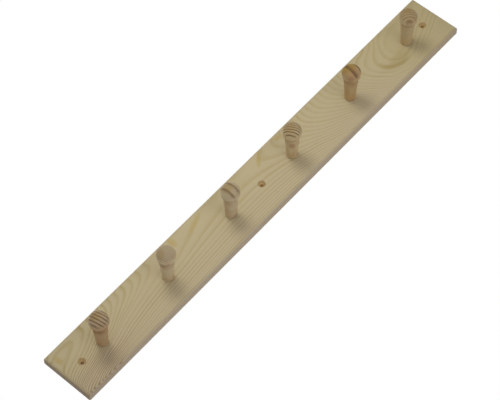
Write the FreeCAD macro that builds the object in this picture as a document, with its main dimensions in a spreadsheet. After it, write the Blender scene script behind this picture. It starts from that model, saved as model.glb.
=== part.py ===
import FreeCAD, Part
import math
import os
import Sketcher

# Wall coat rack: one flat pine board with a row of turned pegs glued into it.
# The back of the board lies on the wall at Y = 0 and the pegs point along -Y.
# X runs along the board, Z is up, and the origin is the middle of the back face.

SIZES = {
    "rail_length": (700, "board, end to end"),
    "rail_width": (75, "board, bottom edge to top edge"),
    "rail_thickness": (12, "board, wall to front face"),
    "front_round": (4.2, "radius worked on the four front edges"),
    "corner_round": (1.5, "radius sanded on the four corners"),
    "back_ease": (0.6, "radius sanded on the back edges"),
    "back_land": (2, "least edge kept behind the front rounding"),
    "screw_end_distance": (27, "end of the board to the end screw holes"),
    "screw_bore": (5, "screw hole diameter"),
    "countersink_diameter": (10, "mouth of the countersink"),
    "countersink_angle": (90, "full angle of the countersink"),
    "peg_count": (6, "pegs in the row"),
    "peg_from_screw": (35, "end screw hole to the end peg"),
    "tenon_diameter": (10, "tenon that goes through the board"),
    "tenon_recess": (0.5, "tenon end, short of the back face"),
    "tenon_chamfer": (0.8, "lead-in on the tenon end"),
    "glue_gap": (0.1, "radial room for glue around a tenon"),
    "shoulder_width": (2.1, "flat seat around the tenon"),
    "foot_ease": (0.5, "radius sanded on the edge of the seat"),
    "shank_length": (43.5, "front face of the board to the neck"),
    "shank_flare": (2.7, "radius gained from the foot to the neck"),
    "head_overhang": (2.5, "radius of the ball beyond the neck"),
    "neck_round": (1, "small cove where the ball meets the shank"),
}

# Sizes that follow from the driving ones.
SCREW_FROM_MIDDLE = "(Sizes.rail_length / 2 - Sizes.screw_end_distance)"
PEG_FROM_MIDDLE = "(Sizes.rail_length / 2 - Sizes.screw_end_distance - Sizes.peg_from_screw)"
SOCKET_DIAMETER = "(Sizes.tenon_diameter + 2 * Sizes.glue_gap)"
TENON_RADIUS = "(Sizes.tenon_diameter / 2)"
NECK_RADIUS = "(Sizes.tenon_diameter / 2 + Sizes.shoulder_width + Sizes.shank_flare)"
HEAD_RADIUS = "(" + NECK_RADIUS + " + Sizes.head_overhang)"
FRONT_RADIUS = "min(Sizes.front_round; Sizes.rail_thickness - Sizes.back_land)"

NEAR = 0.001

doc = FreeCAD.newDocument("coat_rack")


def make_sheet():
    sheet = doc.addObject("Spreadsheet::Sheet", "Sizes")
    for row, (name, (value, words)) in enumerate(SIZES.items(), start=1):
        sheet.set(f"A{row}", name)
        sheet.set(f"B{row}", str(value))
        sheet.setAlias(f"B{row}", name)
        sheet.set(f"C{row}", words)
    doc.recompute()
    return sheet


def size(name):
    return float(sheet.get(name))


def new_body(name):
    body = doc.addObject("PartDesign::Body", name)
    body.Label = name
    return body


def new_sketch(body, name, role):
    """An empty sketch on one of the body's own origin planes."""
    sketch = body.newObject("Sketcher::SketchObject", name)
    plane = next(f for f in body.Origin.OriginFeatures if f.Role == role)
    sketch.AttachmentSupport = [(plane, "")]
    sketch.MapMode = "FlatFace"
    return sketch


# How a sketch constraint names a point of a line or arc, the sketch's origin and its axes.

def start(index):
    return index, 1


def end(index):
    return index, 2


def centre(index):
    return index, 3


def origin():
    return -1, 1


def horizontal_axis():
    return -1


def vertical_axis():
    return -2


def tie(sketch, *constraint):
    return sketch.addConstraint(Sketcher.Constraint(*constraint))


def bind(sketch, name, expression, *constraint):
    """Add a named dimension and take its value from the sheet."""
    sketch.renameConstraint(tie(sketch, *constraint), name)
    sketch.setExpression("Constraints." + name, expression)


def line(sketch, first, last):
    ends = FreeCAD.Vector(*first, 0), FreeCAD.Vector(*last, 0)
    return sketch.addGeometry(Part.LineSegment(*ends))


def circle(sketch, x, radius):
    """A circle on the sketch's horizontal axis, or at its middle where x is 0."""
    middle, normal = FreeCAD.Vector(x, 0, 0), FreeCAD.Vector(0, 0, 1)
    index = sketch.addGeometry(Part.Circle(middle, normal, radius))
    if x:
        tie(sketch, "PointOnObject", *centre(index), horizontal_axis())
    else:
        tie(sketch, "Coincident", *centre(index), *origin())
    return index


def edge_names(shape, wanted):
    return [f"Edge{i}" for i, edge in enumerate(shape.Edges, start=1) if wanted(edge)]


def at_depth(y):
    """A test for edges that lie in the plane at this Y."""
    return lambda edge: all(abs(v.Y - y) < NEAR for v in edge.Vertexes)


def outer_ring(y, inner_radius):
    """A test for a circle in the plane at this Y that is larger than the given radius."""
    level = at_depth(y)
    return lambda edge: level(edge) and edge.Curve.Radius > inner_radius + NEAR


def leaves_depth(edge):
    """True for an edge that runs from front to back."""
    depths = [v.Y for v in edge.Vertexes]
    return max(depths) - min(depths) > NEAR


def round_edges(body, base, name, wanted, radius):
    doc.recompute()
    rounding = body.newObject("PartDesign::Fillet", name)
    rounding.Base = (base, edge_names(base.Shape, wanted))
    rounding.setExpression("Radius", radius)
    return rounding


def wood_left(before, body, words):
    """A cut has to remove wood."""
    doc.recompute()
    after = body.Shape.Volume
    if not after < before - NEAR:
        raise RuntimeError(words + " cut nothing")
    return after


# The board

def board_outline(body):
    sketch = new_sketch(body, "board_outline", "XZ_Plane")
    x = size("rail_length") / 2
    z = size("rail_width") / 2
    corners = [(-x, -z), (x, -z), (x, z), (-x, z)]
    bottom, right, top, left = (line(sketch, a, b) for a, b in zip(corners, corners[1:] + corners[:1]))
    for this, following in ((bottom, right), (right, top), (top, left), (left, bottom)):
        tie(sketch, "Coincident", *end(this), *start(following))
    for index in (bottom, top):
        tie(sketch, "Horizontal", index)
    for index in (left, right):
        tie(sketch, "Vertical", index)
    tie(sketch, "Symmetric", *start(bottom), *start(top), *origin())
    bind(sketch, "length", "Sizes.rail_length", "DistanceX", *start(bottom), *end(bottom), 2 * x)
    bind(sketch, "width", "Sizes.rail_width", "DistanceY", *start(right), *end(right), 2 * z)
    return sketch


def planed_board(body):
    """The board itself: front edges rounded over, corners and back edges eased."""
    blank = body.newObject("PartDesign::Pad", "planed_board")
    blank.Profile = board_outline(body)
    blank.setExpression("Length", "Sizes.rail_thickness")
    front = at_depth(-size("rail_thickness"))
    rounded = round_edges(body, blank, "front_rounding", front, FRONT_RADIUS)
    cornered = round_edges(body, rounded, "corner_rounding", leaves_depth, "Sizes.corner_round")
    round_edges(body, cornered, "back_easing", at_depth(0), "Sizes.back_ease")
    return wood_left(blank.Shape.Volume, body, "rounding")


def bore_sockets(body, wood):
    """One socket right through the board for each peg's tenon, evenly along the centre line."""
    first = size("rail_length") / 2 - size("screw_end_distance") - size("peg_from_screw")
    sketch = new_sketch(body, "first_socket", "XZ_Plane")
    ring = circle(sketch, -first, size("tenon_diameter") / 2)
    bind(sketch, "place", PEG_FROM_MIDDLE, "DistanceX", *centre(ring), *origin(), first)
    bind(sketch, "bore", SOCKET_DIAMETER, "Diameter", ring, size("tenon_diameter"))
    socket = body.newObject("PartDesign::Pocket", "peg_socket")
    socket.Profile = sketch
    socket.Type = "ThroughAll"
    socket.Reversed = True
    wood = wood_left(wood, body, "peg socket")

    row = body.newObject("PartDesign::LinearPattern", "socket_row")
    row.Originals = [socket]
    row.Direction = (sketch, ["H_Axis"])
    row.setExpression("Length", "2 * " + PEG_FROM_MIDDLE)
    row.setExpression("Occurrences", "Sizes.peg_count")
    body.Tip = row
    return wood_left(wood, body, "socket row")


def drill_screw_holes(body, wood):
    """Countersunk holes near each end and in the middle, drilled from the front."""
    sketch = new_sketch(body, "screw_places", "XZ_Plane")
    sketch.setExpression("AttachmentOffset.Base.z", "Sizes.rail_thickness")
    out = size("rail_length") / 2 - size("screw_end_distance")
    bore = size("screw_bore")
    left, middle, right = (circle(sketch, x, bore / 2) for x in (-out, 0, out))
    bind(sketch, "left_place", SCREW_FROM_MIDDLE, "DistanceX", *centre(left), *origin(), out)
    bind(sketch, "right_place", SCREW_FROM_MIDDLE, "DistanceX", *origin(), *centre(right), out)
    for index, name in ((left, "left_bore"), (middle, "middle_bore"), (right, "right_bore")):
        bind(sketch, name, "Sizes.screw_bore", "Diameter", index, bore)
    doc.recompute()

    holes = body.newObject("PartDesign::Hole", "screw_holes")
    holes.Profile = sketch
    holes.DepthType = "ThroughAll"
    holes.HoleCutType = "Countersink"
    holes.HoleCutCustomValues = True
    holes.setExpression("Diameter", "Sizes.screw_bore")
    holes.setExpression("HoleCutDiameter", "Sizes.countersink_diameter")
    holes.setExpression("HoleCutCountersinkAngle", "Sizes.countersink_angle")
    return wood_left(wood, body, "screw holes")


def make_board():
    body = new_body("rail_board")
    wood = planed_board(body)
    wood = bore_sockets(body, wood)
    drill_screw_holes(body, wood)
    return body


# The pegs

def peg_outline(body):
    """Half of the peg's section: tenon, seat, tapered shank and ball, turned about the Y axis."""
    sketch = new_sketch(body, "peg_outline", "XY_Plane")
    tenon = size("tenon_diameter") / 2
    foot = tenon + size("shoulder_width")
    neck = foot + size("shank_flare")
    head = neck + size("head_overhang")
    chamfer = size("tenon_chamfer")
    back = -size("tenon_recess")
    seat = -size("rail_thickness")
    throat = seat - size("shank_length")
    ball_middle = throat - math.sqrt(head**2 - neck**2)
    crown = ball_middle - head

    end_face = line(sketch, (0, back), (tenon - chamfer, back))
    lead_in = line(sketch, (tenon - chamfer, back), (tenon, back - chamfer))
    tenon_side = line(sketch, (tenon, back - chamfer), (tenon, seat))
    shoulder = line(sketch, (tenon, seat), (foot, seat))
    shank = line(sketch, (foot, seat), (neck, throat))
    ball_circle = Part.Circle(FreeCAD.Vector(0, ball_middle, 0), FreeCAD.Vector(0, 0, 1), head)
    at_throat = math.asin((throat - ball_middle) / head)
    ball = sketch.addGeometry(Part.ArcOfCircle(ball_circle, -math.pi / 2, at_throat))
    axis = line(sketch, (0, crown), (0, back))

    run = [end_face, lead_in, tenon_side, shoulder, shank]
    for this, following in zip(run, run[1:]):
        tie(sketch, "Coincident", *end(this), *start(following))
    tie(sketch, "Coincident", *end(shank), *end(ball))
    tie(sketch, "Coincident", *start(ball), *start(axis))
    tie(sketch, "Coincident", *end(axis), *start(end_face))
    for index in (end_face, shoulder):
        tie(sketch, "Horizontal", index)
    for index in (tenon_side, axis):
        tie(sketch, "Vertical", index)
    tie(sketch, "PointOnObject", *start(end_face), vertical_axis())
    tie(sketch, "PointOnObject", *centre(ball), vertical_axis())

    bind(sketch, "tenon_side", TENON_RADIUS, "DistanceX", *origin(), *start(tenon_side), tenon)
    bind(sketch, "lead_in_x", "Sizes.tenon_chamfer", "DistanceX", *start(lead_in), *end(lead_in), chamfer)
    bind(sketch, "lead_in_y", "Sizes.tenon_chamfer", "DistanceY", *end(lead_in), *start(lead_in), chamfer)
    bind(sketch, "recess", "Sizes.tenon_recess", "DistanceY", *start(end_face), *origin(), -back)
    bind(sketch, "seat", "Sizes.rail_thickness", "DistanceY", *start(shoulder), *origin(), -seat)
    bind(sketch, "shoulder", "Sizes.shoulder_width",
         "DistanceX", *start(shoulder), *end(shoulder), foot - tenon)
    bind(sketch, "flare", "Sizes.shank_flare", "DistanceX", *start(shank), *end(shank), neck - foot)
    bind(sketch, "shank", "Sizes.shank_length", "DistanceY", *end(shank), *start(shank), seat - throat)
    bind(sketch, "head", HEAD_RADIUS, "Radius", ball, head)
    return sketch, seat, throat


def make_peg(number):
    """One turned peg, seated on the front face with its tenon through the board."""
    body = new_body(f"peg_{number + 1}")
    sketch, seat, throat = peg_outline(body)
    turned = body.newObject("PartDesign::Revolution", "turned_peg")
    turned.Profile = sketch
    turned.ReferenceAxis = (sketch, ["V_Axis"])
    necked = round_edges(body, turned, "neck_cove", at_depth(throat), "Sizes.neck_round")
    foot = outer_ring(seat, size("tenon_diameter") / 2)
    round_edges(body, necked, "foot_easing", foot, "Sizes.foot_ease")
    along = f"2 * {PEG_FROM_MIDDLE} * {number} / (Sizes.peg_count - 1)"
    body.setExpression("Placement.Base.x", f"{along} - {PEG_FROM_MIDDLE}")
    return body


sheet = make_sheet()
pieces = [make_board()] + [make_peg(number) for number in range(int(size("peg_count")))]
doc.recompute()

for item in doc.Objects:
    if {"Invalid", "Error"} & set(item.State):
        raise RuntimeError(item.Name + " failed: " + ", ".join(item.State))
for piece in pieces:
    if piece.Shape.isNull() or not piece.Shape.isValid():
        raise RuntimeError(piece.Label + " has no valid shape")

os.makedirs("parts", exist_ok=True)
for piece in pieces:
    piece.Shape.exportStep(os.path.join("parts", piece.Label + ".step"))
    box = piece.Shape.BoundBox
    reach = [round(v, 1) for v in (box.XLength, box.YLength, box.ZLength)]
    print(piece.Label, len(piece.Shape.Solids), "solid", round(piece.Shape.Volume / 1000, 2), "cm3", reach)
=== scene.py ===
# %% [markdown]
# # A pine peg rail
# The object is a plain wall coat rack: one flat pine board with six turned pegs glued into it and three
# countersunk holes for wall screws. Everything that fits or carries was made in CAD, so this lesson
# leaves those pieces where they are and gives each of them the look of real wood.
# The frame is in metres: X runs along the board, Z is up and the pegs point along -Y, away from the wall.

# %% Load the packed rail
import math

import bpy
import numpy as np
from mathutils import Euler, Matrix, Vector


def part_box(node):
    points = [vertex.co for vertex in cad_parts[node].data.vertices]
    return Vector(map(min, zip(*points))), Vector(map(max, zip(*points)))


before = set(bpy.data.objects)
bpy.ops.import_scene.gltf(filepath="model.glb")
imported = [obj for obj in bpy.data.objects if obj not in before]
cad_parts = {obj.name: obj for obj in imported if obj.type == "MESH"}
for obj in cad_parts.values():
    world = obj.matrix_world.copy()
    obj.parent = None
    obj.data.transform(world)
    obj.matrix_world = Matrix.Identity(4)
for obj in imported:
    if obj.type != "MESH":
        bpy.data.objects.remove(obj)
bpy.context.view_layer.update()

MM = 1000

scene = bpy.context.scene
board_low, board_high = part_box("rail_board")
peg_names = sorted(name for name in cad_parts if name.startswith("peg_"))
print("board", [round(v * MM, 1) for v in board_high - board_low], "mm with", len(peg_names), "pegs")

# %% [markdown]
# ## The camera
# The photograph looks at the rail from its lower left, from a little over two metres away, with the picture
# turned so that the board climbs from corner to corner. A camera can be keyed in as a raw matrix, but a
# point to aim at, two angles, a distance and a roll say the same in words that can be checked by eye.

# %% Aim the camera
AIM = Vector((-0.0272, board_low.y, -0.0042))
AZIMUTH = math.radians(-24.64)
ELEVATION = math.radians(-20.595)
ROLL = math.radians(-53.854)
DISTANCE = 2.2236
LENS_MM = 129.73
SENSOR_MM = 36

backwards = Vector((
    math.sin(AZIMUTH) * math.cos(ELEVATION),
    -math.cos(AZIMUTH) * math.cos(ELEVATION),
    math.sin(ELEVATION),
))
camera = bpy.data.objects.new("camera", bpy.data.cameras.new("camera"))
camera.data.lens = LENS_MM
camera.data.sensor_width = SENSOR_MM
camera.location = AIM + backwards * DISTANCE
camera.rotation_mode = "QUATERNION"
level_look = (-backwards).to_track_quat("-Z", "Y")
camera.rotation_quaternion = level_look @ Euler((0, 0, ROLL)).to_quaternion()
scene.collection.objects.link(camera)
scene.camera = camera
scene.view_settings.view_transform = "Standard"
print("camera at", [round(v, 3) for v in camera.location])

# %% [markdown]
# ## Arithmetic in a node tree
# The figure of wood is worked out from where each point lies inside the tree, so the finishes below are
# mostly arithmetic. Adding and linking every Math node by hand would hide the formulas, so a small class
# carries one number through the node tree and lets ordinary Python operators add the nodes.

# %% A number that travels through shader nodes
def feed(socket, value):
    """Link a travelling number to a socket, or set a plain value on it."""
    if isinstance(value, Signal):
        socket.id_data.links.new(value.socket, socket)
    else:
        socket.default_value = value


class Signal:
    """One number or colour in a node tree; arithmetic on it adds nodes."""

    def __init__(self, socket):
        self.socket = socket
        self.tree = socket.id_data

    def math(self, operation, *others):
        """Add a Math node that works on this number and the others."""
        node = self.tree.nodes.new("ShaderNodeMath")
        node.operation = operation
        for socket, value in zip(node.inputs, (self, *others)):
            feed(socket, value)
        return Signal(node.outputs[0])

    def __add__(self, other):
        return self.math("ADD", other)

    def __sub__(self, other):
        return self.math("SUBTRACT", other)

    def __mul__(self, other):
        return self.math("MULTIPLY", other)

    def __truediv__(self, other):
        return self.math("DIVIDE", other)

    def __abs__(self):
        return self.math("ABSOLUTE")

    def step(self, low, high):
        """0 up to low, 1 from high on and smooth between; it falls where high is the smaller."""
        node = self.tree.nodes.new("ShaderNodeMapRange")
        node.interpolation_type = "SMOOTHSTEP"
        feed(node.inputs["Value"], self)
        if low < high:
            limits = (low, high, 0.0, 1.0)
        else:
            limits = (high, low, 1.0, 0.0)
        for name, limit in zip(("From Min", "From Max", "To Min", "To Max"), limits):
            node.inputs[name].default_value = limit
        return Signal(node.outputs["Result"])

    def through(self, points):
        """A smooth curve through a few given (input, output) points."""
        inputs, outputs = np.array(points, float).T
        start, span = inputs[0], np.ptp(inputs)
        least, reach = outputs.min(), np.ptp(outputs)
        node = self.tree.nodes.new("ShaderNodeFloatCurve")
        curve = node.mapping.curves[0]
        while len(curve.points) < len(points):
            curve.points.new(0.5, 0.5)
        for point, x, y in zip(curve.points, (inputs - start) / span, (outputs - least) / reach):
            point.location = (x, y)
        node.mapping.update()
        feed(node.inputs["Value"], (self - start) / span)
        return Signal(node.outputs[0]) * reach + least


print("besides sums, a travelling number knows", [name for name in vars(Signal) if "__" not in name])

# %% Distances, masks and colours
# A Mix node holds sockets for every kind of value. These are the ones for colours.
MIX_FIRST = 6
MIX_SECOND = 7
MIX_RESULT = 2


def away(first, *others):
    """Distance from the origin of a point with these coordinates."""
    total = first * first
    for other in others:
        total += other * other
    return total.math("SQRT")


def less(mask, share):
    """1 where a mask is 0, and smaller by this share where it is 1."""
    return mask * -share + 1.0


def blend(factor, first, second):
    """The colour first where factor is 0, second where it is 1."""
    node = factor.tree.nodes.new("ShaderNodeMix")
    node.data_type = "RGBA"
    feed(node.inputs["Factor"], factor)
    feed(node.inputs[MIX_FIRST], first)
    feed(node.inputs[MIX_SECOND], second)
    return Signal(node.outputs[MIX_RESULT])


def shaded(colour, amount):
    """A colour made darker or lighter by a factor."""
    node = colour.tree.nodes.new("ShaderNodeVectorMath")
    node.operation = "SCALE"
    feed(node.inputs[0], colour)
    feed(node.inputs["Scale"], amount)
    return Signal(node.outputs[0])


def srgb(red, green, blue):
    """A colour picked on a screen, 0 to 255, made linear by the screen's curve, as shaders take it."""
    value = np.array([red, green, blue]) / 255
    linear = np.where(value <= 0.04045, value / 12.92, ((value + 0.055) / 1.055) ** 2.4)
    return (*linear.tolist(), 1.0)


print("a screen's middle grey is", round(srgb(128, 128, 128)[0], 3), "to a shader")

# %% [markdown]
# ## A place inside the wood
# Both finishes read Object coordinates, so the figure is solid: a ring that runs out of the face goes on
# round the edge and through the end, as in a real board. Millimetres suit wood better than metres, and a
# peg's figure is easiest to think about from the peg's own axis, so its origin is taken off. Noise is read
# without that shift: each peg lies elsewhere in the frame and so gets blotches of its own.

# %% Millimetres from a chosen origin
NOISE_MIDDLE = 0.5


class Place:
    """Where a shaded point lies, in millimetres from an origin, and which way its surface faces."""

    def __init__(self, tree, origin=(0, 0, 0)):
        self.tree = tree
        coordinates = tree.nodes.new("ShaderNodeTexCoord")
        mapping = tree.nodes.new("ShaderNodeMapping")
        mapping.inputs["Scale"].default_value = (MM, MM, MM)
        tree.links.new(coordinates.outputs["Object"], mapping.inputs["Vector"])
        self.vector = Signal(mapping.outputs[0])
        self.x, self.y, self.z = [
            part - start * MM for part, start in zip(self.parts(self.vector.socket), origin)
        ]
        self.facing_x, self.facing_y, self.facing_z = self.parts(coordinates.outputs["Normal"])

    def parts(self, socket):
        """The three numbers of a vector socket."""
        split = self.tree.nodes.new("ShaderNodeSeparateXYZ")
        self.tree.links.new(socket, split.inputs[0])
        return [Signal(output) for output in split.outputs]

    def noise(self, sizes, detail=2.0):
        """Smooth noise between about -0.5 and 0.5 whose blobs have these sizes in millimetres."""
        scale = self.tree.nodes.new("ShaderNodeVectorMath")
        scale.operation = "DIVIDE"
        feed(scale.inputs[0], self.vector)
        scale.inputs[1].default_value = sizes
        node = self.tree.nodes.new("ShaderNodeTexNoise")
        node.inputs["Scale"].default_value = 1
        node.inputs["Detail"].default_value = detail
        self.tree.links.new(scale.outputs[0], node.inputs["Vector"])
        return Signal(node.outputs[0]) - NOISE_MIDDLE


print("the face of the board lies at", round(board_low.y * MM, 1), "mm")

# %% [markdown]
# ## Sanded wood
# Board and pegs were sanded and never varnished: matt, with hard late wood a little smoother and prouder
# than the soft wood between, and fine grooves along the fibres. The relief could be modelled, but it is a
# few hundredths of a millimetre deep, so it is a bump in the material. One function does this for both.

# %% The surface that all pieces share
GLOSS = 0.2
RELIEF_MM = 0.06
LATE_RISE = 0.5


def new_finish(name):
    """An empty material and its Principled shader."""
    material = bpy.data.materials.new(name)
    material.use_nodes = True
    return material, material.node_tree.nodes["Principled BSDF"]


def dent(shader, height, depth_mm):
    """Let a height between 0 and 1 tilt the surface as a relief of this depth would."""
    bump = shader.id_data.nodes.new("ShaderNodeBump")
    bump.inputs["Strength"].default_value = 1
    bump.inputs["Distance"].default_value = depth_mm / MM
    feed(bump.inputs["Height"], height)
    feed(shader.inputs["Normal"], Signal(bump.outputs[0]))


def sand(shader, colour, late, fibres, roughness, smoother):
    """Colour and surface: late wood is smoother by the given amount and stands proud, as the fibres do."""
    feed(shader.inputs["Base Color"], colour)
    feed(shader.inputs["Roughness"], late * -smoother + roughness)
    shader.inputs["Specular IOR Level"].default_value = GLOSS
    dent(shader, late * LATE_RISE + fibres, RELIEF_MM)


print("relief of the grain", RELIEF_MM, "mm")

# %% [markdown]
# ## Growth rings in the board
# The board is sawn flat from a trunk that was not quite straight, so its face shows the rings as nested
# arches that open towards both ends. Wave or noise textures give wood of some kind, but not this board.
# Here a ring is a level line of one simple field: how far a point lies above or below the heart of the
# tree, squared, plus how far behind the face the heart runs at that place along the board. Two curves with
# a few given points hold the heart's height and depth, and the arches follow from them. At the near end
# the rings lie closer together, most of all at the lower corner, where they turn back as small hooks.

# %% The ring number at every point of the board
# The curves are points of (millimetres along the board, value there). In a pair such as CROWDED_DOWN, a soft
# change starts at the first number and is complete at the second.
HEART_HEIGHT = [(-350, 8), (-310, 27), (-260, 32), (-100, 25), (50, 26), (150, 28),
                (190, 22), (225, 9), (245, 4.5), (265, 8), (300, 17), (350, 34)]
HEART_DEPTH = [(-350, -24.5), (-300, -22.4), (-240, -12), (-170, -2.5), (-100, 4.2), (-40, 6.2), (20, 4.4),
               (70, -3.7), (120, -20.7), (170, -40), (220, -60.7), (250, -68.3), (280, -74.2), (305, -72.8),
               (350, -71.3)]
TRUNK_RADIUS = 50
RING_ON_FACE = 3.6
RING_INTO_BOARD = 1.6
FIRST_RING = -1.0
TIGHTER_UP_TO = -20.0
TIGHTER_BELOW = -3.2
TIGHTER_BY = 0.27
CROWDED_ALONG = [(-350, 0), (-325, 0.9), (-298, 2.7), (-230, 0), (-150, 0), (350, 0)]
CROWDED_DOWN = (-16, -40)
LONG_WAVES = (120, 14, 14)
LONG_SWAY = 0.35
SHORT_WAVES = (25, 4, 4)
SHORT_SWAY = 0.12


def board_rings(place):
    """Ring number: heart's depth plus squared height over twice the trunk's radius, less the way in."""
    height = place.z - place.x.through(HEART_HEIGHT)
    level = place.x.through(HEART_DEPTH) + height * height / (2 * TRUNK_RADIUS)
    near_end = place.x.math("LESS_THAN", TIGHTER_UP_TO)
    tighter = (level - TIGHTER_BELOW).math("MINIMUM", 0.0) * near_end * TIGHTER_BY
    crowded = place.x.through(CROWDED_ALONG) * place.z.step(*CROWDED_DOWN)
    way_in = place.y - board_low.y * MM
    sway = place.noise(LONG_WAVES) * LONG_SWAY + place.noise(SHORT_WAVES) * SHORT_SWAY
    return level / RING_ON_FACE + tighter + crowded - way_in / RING_INTO_BOARD + sway + FIRST_RING


print("heart of the tree set at", len(HEART_HEIGHT), "heights and", len(HEART_DEPTH), "depths")

# %% [markdown]
# ## Early and late wood
# A year's ring starts pale in spring, darkens through the summer and stops at once in autumn. A sine wave
# would be even on both sides, so a curve with a slow rise and a steep fall draws it. No two summers are the
# same, so each ring also gets a number of its own that makes its line stronger or weaker.

# %% A line for every year
LATE_WOOD = [(0, 0), (0.27, 0.2), (0.5, 0.85), (0.6, 1), (0.68, 0.85), (0.72, 0.35), (0.79, 0.08), (1, 0)]
LINE_AT = 0.6
YEAR_STRIDE = 0.73


def late_wood(rings):
    """0 in early wood and 1 on the dark line, which lies at whole ring numbers."""
    return (rings + LINE_AT).math("FRACT").through(LATE_WOOD)


def summers(rings):
    """A number round 0 that differs from ring to ring: noise read once for each whole ring."""
    noise = rings.tree.nodes.new("ShaderNodeTexNoise")
    noise.noise_dimensions = "1D"
    noise.inputs["Scale"].default_value = 1
    noise.inputs["Detail"].default_value = 0
    feed(noise.inputs["W"], (rings + LINE_AT).math("FLOOR") * YEAR_STRIDE)
    return Signal(noise.outputs[0]) - NOISE_MIDDLE


print("late wood is darkest", LINE_AT, "of the way through its year")

# %% [markdown]
# ## Where this board differs from any other
# The photograph shows soft streaks of yellow resin along the upper half, two quiet patches where the lines
# fade, and one broad bend of rich wood below the last peg. They could be painted on an image, but an image
# would have to be stored and laid out. Soft ovals and corners, each given by a few lengths in millimetres,
# say where they are.

# %% Soft shapes on the face
# An oval is the x and z of its middle, half its length and half its height, in millimetres.
SOFT_EDGE = (1.2, 0.4)
RICH_BEND = (265, 5, 30, 22.5)
RICH_WIDTH = (0.22, 0.02)
RICH_STRETCH = (250, -14, 26, 22)


def oval(place, x, z, half_length, half_height, climb=0):
    """1 in the middle of a soft oval on the face, which may climb along the board, and 0 outside it."""
    along = (place.x - x) / half_length
    up = (place.z - z - (place.x - x) * climb) / half_height
    return away(along, up).step(*SOFT_EDGE)


def corner(place, along, upward):
    """1 beyond a soft limit along the board and a soft limit in height, 0 elsewhere."""
    return place.x.step(*along) * place.z.step(*upward)


def rich_band(place):
    """1 along the lower left of one broad oval ring below the last peg, fading out at both ends."""
    x, z, half_length, half_height = RICH_BEND
    ring = away((place.x - x) / half_length, (place.z - z) / half_height)
    return abs(ring - 1.0).step(*RICH_WIDTH) * oval(place, *RICH_STRETCH)


print("rich bend at", RICH_BEND[:2], "mm along and up")

# %% How dark the lines are
# A corner is a pair of limits along the board and a pair of limits in height.
LINES_ALONG = [(-350, 1.05), (-305, 1.1), (-265, 0.8), (-215, 0.64), (-100, 0.58), (50, 0.56), (120, 0.52),
               (160, 0.43), (240, 0.46), (350, 0.5)]
LINES_UPWARD = [(-37, 1.1), (-12, 0.95), (8, 0.68), (22, 0.8), (37, 1.1)]
YEARS_DIFFER = 1.1
HOOKS = ((-280, -310), (-22, -32))
HOOKS_EVEN = 0.8
PATCHES = (60, 10, 10)
PATCHY = 0.8
RICH_LINES = 0.3
QUIET_PATCHES = [(-328, 26, 26, 16), (-112, 28, 30, 9)]
QUIETER_BY = 0.45
FAINTEST = 0.08
LOW_RIGHT = ((190, 260), (-12, -24))
LOW_RIGHT_FADES = 0.6
LOWER_EDGE_TURN = (-0.1, -0.5)
LOWER_EDGE_ALONG = (-300, -270)
LOWER_EDGE_FADES = 0.85


def ring_strength(place, rings):
    """How dark the late wood is: strong at the near end, faint along the lower right edge."""
    along = place.x.through(LINES_ALONG)
    upward = place.z.through(LINES_UPWARD)
    yearly = summers(rings) * (corner(place, *HOOKS) * -HOOKS_EVEN + YEARS_DIFFER)
    years = yearly + place.noise(PATCHES, detail=1) * PATCHY
    strength = along * (upward + years) + rich_band(place) * RICH_LINES
    for patch in QUIET_PATCHES:
        strength -= oval(place, *patch) * QUIETER_BY
    lower_edge = place.facing_z.step(*LOWER_EDGE_TURN) * place.x.step(*LOWER_EDGE_ALONG)
    low_right = less(corner(place, *LOW_RIGHT), LOW_RIGHT_FADES)
    return strength.math("MAXIMUM", FAINTEST) * low_right * less(lower_edge, LOWER_EDGE_FADES)


print("lines fade from", LINES_ALONG[0][1], "at the near end to", LINES_ALONG[-1][1], "at the far end")

# %% [markdown]
# ## The board's finish
# The real board is bare pine: pale wood with slightly yellower late wood, browner at the near lower corner
# and yellower at the far end. It could be one flat colour with a wood picture on top, but a picture would
# end at the edges. Here the colour comes from the ring number, so it runs on over the rounded edges. Cut
# across the fibres, at the two ends and in the screw holes, the same wood is darker and browner. Little
# light gets down a screw hole that lies against a wall, so the bores darken towards the back.

# %% Colours of the wood
# A streak of resin is an oval with a fifth number, how far it climbs for each millimetre along the board.
EARLY_LOW = srgb(180, 167, 138)
EARLY_HIGH = srgb(181, 168, 134)
EARLY_RISE = (-35, 20)
LATE = srgb(160, 142, 95)
LATE_BROWN = srgb(150, 124, 92)
BROWN_CORNER = ((-230, -290), (5, -20))
YELLOW_END = srgb(180, 166, 122)
YELLOW_ALONG = (170, 300)
YELLOW_SHARE = 0.6
RICH_INSIDE = (260, -9, 20, 8)
RICH_INSIDE_SHARE = 0.4
RICH_SHARE = 0.85
RESIN_COLOUR = srgb(173, 152, 98)
RESIN_STREAKS = [(-340, 21.5, 4.5, 8, 0), (-135, 28, 5, 9, 0), (-98, 25, 20, 4, 0.32),
                 (24, 26, 9, 4.5, 0.8), (65, 30, 6, 4, 0)]
RESIN_SHARE = 0.7


def board_wood(place, rings, late):
    """Early wood, then the yellow end, the rich bend and the resin, then the late wood over all of them."""
    late_colour = blend(corner(place, *BROWN_CORNER), LATE, LATE_BROWN)
    colour = blend(place.z.step(*EARLY_RISE), EARLY_LOW, EARLY_HIGH)
    colour = blend(place.x.step(*YELLOW_ALONG) * YELLOW_SHARE, colour, YELLOW_END)
    colour = blend(oval(place, *RICH_INSIDE) * RICH_INSIDE_SHARE, colour, late_colour)
    colour = blend(rich_band(place) * RICH_SHARE, colour, late_colour)
    for streak in RESIN_STREAKS:
        colour = blend(oval(place, *streak) * RESIN_SHARE, colour, RESIN_COLOUR)
    return blend(late * ring_strength(place, rings), colour, late_colour)


print(len(RESIN_STREAKS), "streaks of resin")

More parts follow.
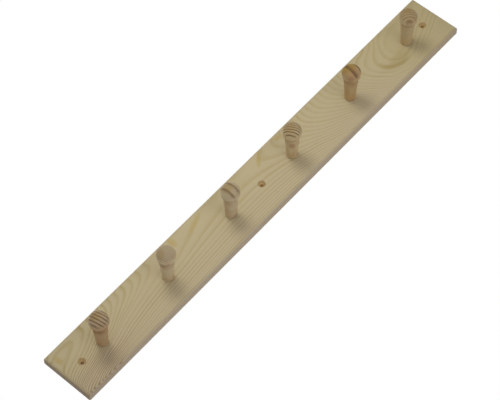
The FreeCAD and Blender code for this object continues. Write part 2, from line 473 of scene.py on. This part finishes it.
# %% Edges, ends and screw holes
# A turn is how far the surface faces the named way, from 0 for not at all to 1 for straight that way.
SIDE_COLOUR = srgb(176, 158, 138)
SIDE_TURN = (0.3, 1.0)
SIDE_SHARE = 0.6
END_COLOUR = srgb(125, 106, 88)
END_TURN = (0.75, 1.0)
END_SHARE = 0.75
SCREW_FROM_END = 27
HOLE_MOUTH = (5.2, 4.8)
HOLE_WALL = srgb(160, 136, 96)
BORE_MOUTH = (3.0, 2.4)
BORE_FRONT = srgb(222, 194, 140)
BORE_BACK = srgb(165, 128, 86)
BORE_DARKENS = (-7.0, -1.0)


def screw_hole_distance(place):
    """Distance from the axis of the nearest of the three screw holes."""
    out = board_high.x * MM - SCREW_FROM_END
    along = abs(place.x).math("MINIMUM", abs(abs(place.x) - out))
    return away(along, place.z)


def cut_faces(place, colour, painted_falloff):
    """The wood's colour, with the long sides, the two ends and the screw holes laid over it."""
    colour = blend(abs(place.facing_z).step(*SIDE_TURN) * SIDE_SHARE, colour, SIDE_COLOUR)
    colour = blend(abs(place.facing_x).step(*END_TURN) * END_SHARE, colour, END_COLOUR)
    from_axis = screw_hole_distance(place)
    colour = blend(from_axis.step(*HOLE_MOUTH), colour, HOLE_WALL)
    # Painted shade: the bore darkens towards the back, and the painted falloff along the board scales it
    # too.
    bore = shaded(blend(place.y.step(*BORE_DARKENS), BORE_FRONT, BORE_BACK), painted_falloff)
    return blend(from_axis.step(*BORE_MOUTH), colour, bore)


print("end screw holes", SCREW_FROM_END, "mm from the ends")

# %% Bare sanded pine
# Painted shade: the colour is scaled darker towards both ends, where the light falls off.
FALLOFF_ALONG = [(-350, 0.845), (-200, 0.97), (0, 1.0), (200, 0.955), (265, 0.92), (350, 0.8)]
BOARD_FIBRES = (30, 0.5, 0.5)
FIBRE_TONE = 0.12
LOWER_ROUND_TURN = (-0.03, -0.35)
LOWER_ROUND_SHADE = 0.14


def board_finish():
    """Wood colour times a painted falloff of light along the board, with painted shade on the lower round,
    then the cut faces.
    """
    material, shader = new_finish("sanded_pine_board")
    place = Place(material.node_tree)
    rings = board_rings(place)
    late = late_wood(rings)
    fibres = place.noise(BOARD_FIBRES, detail=3)
    painted_falloff = place.x.through(FALLOFF_ALONG)
    # Painted shade: the rounded lower edge, where the surface turns downwards, is made darker.
    painted_shade_below = place.facing_z.step(*LOWER_ROUND_TURN)
    shade = painted_falloff + fibres * FIBRE_TONE - painted_shade_below * LOWER_ROUND_SHADE
    colour = shaded(board_wood(place, rings, late), shade)
    sand(shader, cut_faces(place, colour, painted_falloff), late, fibres, roughness=0.65, smoother=0.1)
    return material


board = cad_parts["rail_board"]
board.material_slots[0].material = board_finish()
print("board finish set on", board.name)

# %% [markdown]
# ## The pegs' wood
# Each peg was turned from its own square of pine, so its rings are nearly flat sheets that cross the peg at
# an angle of their own. On the ball they show as stripes, arches or a bull's eye, on the shank as faint
# flames. One shared material would give six equal pegs, so a function makes the finish from a few facts
# read off the photograph.

# %% What is known about each peg
# angle: the direction in which the rings grow, in degrees round the peg's axis
# ring, dark: the width of a ring and where one dark line lies, in millimetres from the axis
# lean: how far the rings lean along the peg
# contrast, sharp: how dark the stripes are, and how wide where sharp is small
# crown, amber: x, z and reach of a resin-coloured spot on the ball, and its strength
# neck, cove_shade: strength of the painted shade under the ball, a blotchy brown band, and of the painted
# shade line in the cove
# mark: x, y, z and strength of one brown mark, from the tip of the ball
# side, end, late: colours along the fibres, across them and of the late wood
PEG_WOOD = {
    "peg_1": dict(angle=192, ring=4.05, lean=0.15, dark=2.35, contrast=0.95, sharp=0.65, crown=(-1, 3, 9),
                  amber=0.6, neck=0.5, cove_shade=0.2, mark=(-9.5, 23, 1, 0.8),
                  side=(174, 148, 112), end=(162, 144, 115), late=(98, 77, 55)),
    "peg_2": dict(angle=195, ring=1.9, lean=0.1, dark=0.4, contrast=0.65, sharp=0.8, crown=(-8, 3, 9),
                  amber=0.35, neck=0.3, cove_shade=0.18, mark=(-9, 22, -3, 0.3),
                  side=(202, 186, 151), end=(163, 148, 120), late=(116, 92, 68)),
    "peg_3": dict(angle=4, ring=9.6, lean=-0.15, dark=5.6, contrast=0.75, sharp=1.1, crown=(-2, 2, 9),
                  amber=0.5, neck=0.1, cove_shade=0.1, mark=(0, 60, -7, 0.35),
                  side=(197, 180, 147), end=(161, 146, 117), late=(108, 84, 56)),
    "peg_4": dict(angle=210, ring=3.0, lean=0, dark=1.45, contrast=1.0, sharp=0.8, crown=(-3, 1, 9),
                  amber=0.4, neck=0.2, cove_shade=0.12, mark=(-6.4, 32, -5.8, 0.4),
                  side=(199, 178, 137), end=(168, 151, 114), late=(104, 80, 52)),
    "peg_5": dict(angle=174, ring=11.3, lean=0, dark=3.1, contrast=0.85, sharp=0.9, crown=(0, 7, 13),
                  amber=0.95, neck=0.3, cove_shade=0.15, mark=(-9.5, 9.5, -7, 0.4),
                  side=(187, 161, 116), end=(151, 123, 87), late=(94, 66, 38)),
    "peg_6": dict(angle=224, ring=2.6, lean=-0.3, dark=2.1, contrast=0.65, sharp=0.8, crown=(2, 4, 9),
                  amber=0.4, neck=0.1, cove_shade=0.02, mark=(-8.8, 8.6, -7.7, 0.25),
                  side=(189, 170, 130), end=(149, 131, 94), late=(106, 78, 54)),
}
print("facts about", len(PEG_WOOD), "pegs")

# %% Rings across a peg
RING_BEND = 0.015
PEG_WAVES = (7, 40, 7)
SWAY_OF_RING = 0.4
MOST_SWAY = 1.6


def peg_rings(place, wood, ball):
    """Late wood of bent sheets: way along their growth, plus bend, lean and sway, over a ring's width."""
    turn = math.radians(wood["angle"])
    outward = place.x * math.cos(turn) + place.z * math.sin(turn)
    across = place.z * math.cos(turn) - place.x * math.sin(turn)
    leaning = (place.y - ball) * wood["lean"]
    sway = place.noise(PEG_WAVES) * min(MOST_SWAY, wood["ring"] * SWAY_OF_RING)
    sheet = outward + across * across * (RING_BEND / 2) + leaning + sway
    return late_wood((sheet - wood["dark"]) / wood["ring"]).math("POWER", wood["sharp"])


print("rings", [wood["ring"] for wood in PEG_WOOD.values()], "mm wide")

# %% [markdown]
# ## The pegs' colours
# The crown of the ball is cut straight across the fibres, which makes it darker and warmer and its stripes
# strongest. Under the ball a blotchy brown band is painted shade of the ball on the shank, a fine line in
# the cove is painted shade, the foot is a little redder, and painted shade darkens a line where the seat
# meets the board. All of them could be masks painted on an unwrapped peg, but the distance from the tip of
# the ball gives each of them in one short formula.

# %% Spots and stains on a peg
CROWN_SOFT = 6
CROWN_PAST = 2
CROWN_BEFORE = 3
MARK_WIDTH = 5
MARK_LENGTH = 7
BALL_SHADE_STARTS = (19, 22)
BALL_SHADE_ENDS = (36, 24)
BALL_SHADE_BLOTCHES = (8, 12, 8)
BALL_SHADE_VARIES = 3.0


def amber_crown(place, wood):
    """A soft round spot on the ball, seen from the front, that fades out at its reach behind the tip."""
    x, z, reach = wood["crown"]
    spot = away(place.x - x, place.z - z).step(reach, reach - CROWN_SOFT)
    return spot * place.y.step(reach + CROWN_PAST, reach - CROWN_BEFORE) * wood["amber"]


def brown_mark(place, wood):
    """A soft spot, longer along the peg than across it."""
    x, y, z, strength = wood["mark"]
    off = away((place.x - x) / MARK_WIDTH, (place.y - y) / MARK_LENGTH, (place.z - z) / MARK_WIDTH)
    return off.step(*SOFT_EDGE) * strength


def neck_stain(place, wood):
    """Painted shade of the ball: a blotchy band from the cove down the top of the shank."""
    band = place.y.step(*BALL_SHADE_STARTS) * place.y.step(*BALL_SHADE_ENDS) * wood["neck"]
    return band * (place.noise(BALL_SHADE_BLOTCHES, detail=1) * BALL_SHADE_VARIES + 1.0)


print("painted_band from", BALL_SHADE_STARTS[0], "to", BALL_SHADE_ENDS[0], "mm from the tip")

# %% Colours of a peg
AMBER = srgb(145, 119, 58)
WARM = srgb(176, 132, 88)
FOOT = srgb(190, 147, 100)
MARK = srgb(134, 92, 64)
# The colour of the painted shade under the ball.
BALL_SHADE_TINT = srgb(140, 102, 66)
END_SPREAD = 0.6
WARM_BLOTCHES = (7, 18, 7)
WARMTH = 2.0
WARM_LESS_ON_ENDS = 0.8
FOOT_FROM_TO = (40, 60)
FOOT_SHARE = 0.25
STRIPES_TURN = (0.08, 0.6)
FLAMES = 0.12
STRIPES = 0.88


def peg_wood(place, wood, late):
    """Side and end grain, then crown, blotches, foot, mark and the painted shade under the ball, then the
    stripes over all of them.
    """
    end_grain = abs(place.facing_y).math("POWER", END_SPREAD)
    colour = blend(end_grain, srgb(*wood["side"]), srgb(*wood["end"]))
    colour = blend(amber_crown(place, wood), colour, AMBER)
    blotches = (place.noise(WARM_BLOTCHES, detail=1) * WARMTH).math("MAXIMUM", 0.0)
    colour = blend(blotches * less(end_grain, WARM_LESS_ON_ENDS), colour, WARM)
    colour = blend(place.y.step(*FOOT_FROM_TO) * FOOT_SHARE, colour, FOOT)
    colour = blend(brown_mark(place, wood), colour, MARK)
    colour = blend(neck_stain(place, wood), colour, BALL_SHADE_TINT)
    stripes = late * (abs(place.facing_y).step(*STRIPES_TURN) * STRIPES + FLAMES) * wood["contrast"]
    return blend(stripes, colour, srgb(*wood["late"]))


print("stripes at", FLAMES, "of their strength on the shank")

# %% Turned pine for six pegs
COVE = 20.2
# Painted shade: a dark line in the cove under the ball and a dark line where the seat meets the board.
COVE_SHADE_SPAN = (2.5, 0.2)
SEAT_SHADE_REACH = 1.6
SEAT_SHADE_STRENGTH = 0.25
PEG_FIBRES = (0.5, 14, 0.5)
PEG_FIBRE_TONE = 0.2


def painted_crease_shade(place, wood, seat):
    """Painted shade: how much darker the line in the cove is, and the line where the seat meets the board.
    """
    cove = abs(place.y - COVE).step(*COVE_SHADE_SPAN) * wood["cove_shade"]
    return cove + place.y.step(seat - SEAT_SHADE_REACH, seat) * SEAT_SHADE_STRENGTH


def peg_finish(name, wood):
    """The finish of one peg, measured from the tip of its ball on its own axis."""
    material, shader = new_finish(name + "_pine")
    low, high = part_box(name)
    place = Place(material.node_tree, ((low.x + high.x) / 2, low.y, 0))
    ball = (high.x - low.x) / 2 * MM
    seat = (board_low.y - low.y) * MM
    late = peg_rings(place, wood, ball)
    fibres = place.noise(PEG_FIBRES, detail=3)
    shade = fibres * PEG_FIBRE_TONE - painted_crease_shade(place, wood, seat) + 1.0
    colour = shaded(peg_wood(place, wood, late), shade)
    sand(shader, colour, late, fibres, roughness=0.62, smoother=0.08)
    return material


for name in peg_names:
    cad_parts[name].material_slots[0].material = peg_finish(name, PEG_WOOD[name])
print("finishes for", ", ".join(peg_names))

# %% [markdown]
# ## A white background
# The photograph is cut out on pure white, so the world itself is the white backdrop. At full strength it
# would also light the rail from all round and wash it out. So camera, glossy and transmission rays see it
# at strength 1, and it lights the wood at a lower level.

# %% A white world
WHITE = (1, 1, 1, 1)
AMBIENT = 0.57


def showing_rays(tree):
    """1 for the rays that show a background, to the eye, in gloss or through glass, and 0 for the rest."""
    rays = tree.nodes.new("ShaderNodeLightPath").outputs
    seen = Signal(rays["Is Camera Ray"]).math("MAXIMUM", Signal(rays["Is Glossy Ray"]))
    return seen.math("MAXIMUM", Signal(rays["Is Transmission Ray"]))


world = bpy.data.worlds.new("studio")
scene.world = world
world.use_nodes = True
tree = world.node_tree
tree.nodes.clear()
output = tree.nodes.new("ShaderNodeOutputWorld")
background = tree.nodes.new("ShaderNodeBackground")
background.inputs["Color"].default_value = WHITE
feed(background.inputs["Strength"], showing_rays(tree) * (1 - AMBIENT) + AMBIENT)
tree.links.new(background.outputs[0], output.inputs[0])
print("world strength", AMBIENT, "on the wood")

# %% [markdown]
# ## A pale floor
# A rail hangs on a wall, and the floor of the room is far below it. Here it lies out of the photograph's
# view, low enough that a camera below the rail stays above it, and sends light up to the lower edge. Lit at
# that plain level it would look grey from above. More lamps would wash out the wood, so the floor glows a
# little instead, only for the rays that show it.

# %% Lay the floor
FLOOR_HEIGHT = -5.0
FLOOR_HALF = 6.0
FLOOR_PALE = srgb(236, 235, 232)
FLOOR_ROUGHNESS = 0.9
FLOOR_GLOW = 0.53

corners = np.array([(-1, -1), (1, -1), (1, 1), (-1, 1)]) * FLOOR_HALF
floor_mesh = bpy.data.meshes.new("floor")
floor_mesh.from_pydata(np.c_[corners, np.full(4, FLOOR_HEIGHT)].tolist(), [], [(0, 1, 2, 3)])
floor_paint, shader = new_finish("pale_floor")
shader.inputs["Base Color"].default_value = FLOOR_PALE
shader.inputs["Roughness"].default_value = FLOOR_ROUGHNESS
shader.inputs["Emission Color"].default_value = WHITE
feed(shader.inputs["Emission Strength"], showing_rays(floor_paint.node_tree) * FLOOR_GLOW)
floor_mesh.materials.append(floor_paint)
floor = bpy.data.objects.new("floor", floor_mesh)
scene.collection.objects.link(floor)
print("floor", -FLOOR_HEIGHT, "m below the rail")

# %% [markdown]
# ## Soft lamps
# In the photograph the pegs' shadows fall down the board and fan out, so the key lamp hangs above the rail
# and not far away. A sun would throw all the shadows one way. The lower edge and the near sides of the pegs
# are light too, so a large weak lamp fills them in from below. A third lamp stands behind, where the
# photograph does not look, so that the back of the board is lit like the front.

# %% Three soft lamps
def soft_lamp(name, place, size, watts, colour):
    """A round area lamp aimed at the middle of the board."""
    lamp = bpy.data.objects.new(name, bpy.data.lights.new(name, "AREA"))
    lamp.data.shape = "DISK"
    lamp.data.size = size
    lamp.data.energy = watts
    lamp.data.color = colour
    lamp.location = place
    lamp.rotation_mode = "QUATERNION"
    lamp.rotation_quaternion = (-Vector(place)).to_track_quat("-Z", "Y")
    scene.collection.objects.link(lamp)


soft_lamp("key", place=(0.07, -1.5, 0.6), size=0.6, watts=8.9, colour=(1.0, 0.978, 0.868))
soft_lamp("fill", place=(0.1, -1.3, -1.6), size=1.8, watts=10.6, colour=(0.985, 0.955, 0.985))
soft_lamp("back", place=(0.35, 1.5, 0.4), size=1.2, watts=10, colour=(1.0, 0.98, 0.94))
print("lamps", [lamp.name for lamp in bpy.data.lights])

# %% [markdown]
